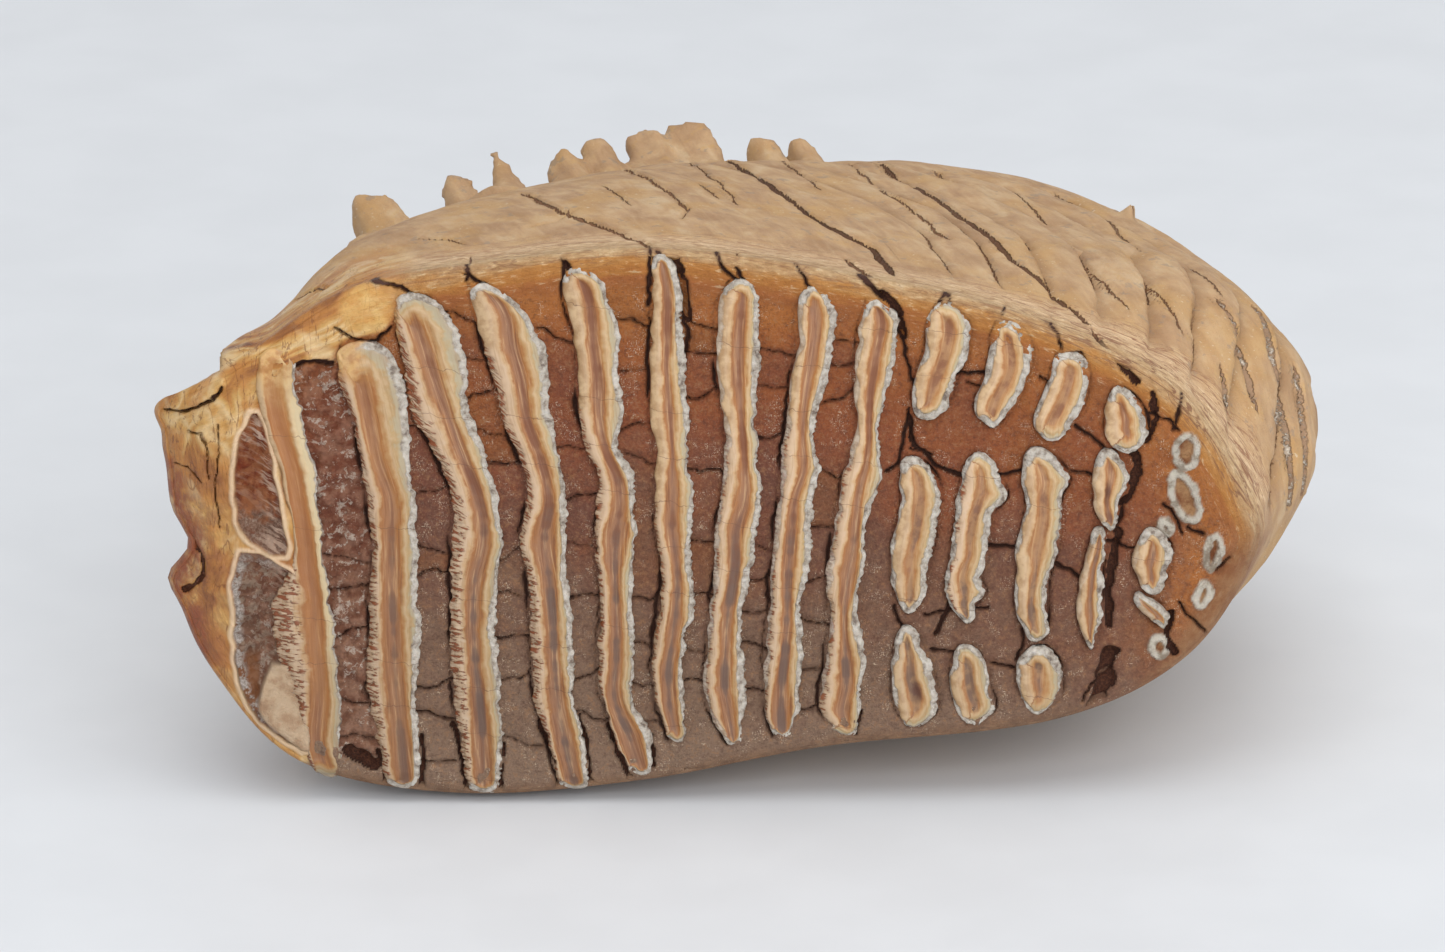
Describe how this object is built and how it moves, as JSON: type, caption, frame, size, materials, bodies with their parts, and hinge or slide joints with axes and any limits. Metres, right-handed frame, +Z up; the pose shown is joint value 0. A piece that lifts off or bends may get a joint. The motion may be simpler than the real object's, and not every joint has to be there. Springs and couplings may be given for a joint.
{
  "type": "woolly mammoth molar",
  "caption": "Fossil mammoth molar lying on its long side, its worn chewing face of crossing enamel plates to the front and broken root stubs behind.",
  "frame": {"origin": "centre of the bounding box in plan, on the surface that the tooth rests on", "axes": "+X along the chewing face from its front end to its back end, +Y from the chewing face back to the roots, +Z up"},
  "size_m": [0.237, 0.1588, 0.1135],
  "materials": {
    "molar": "satin"
  },
  "bodies": {
    "root": {"molar": "molar"}
  },
  "joints": []
}
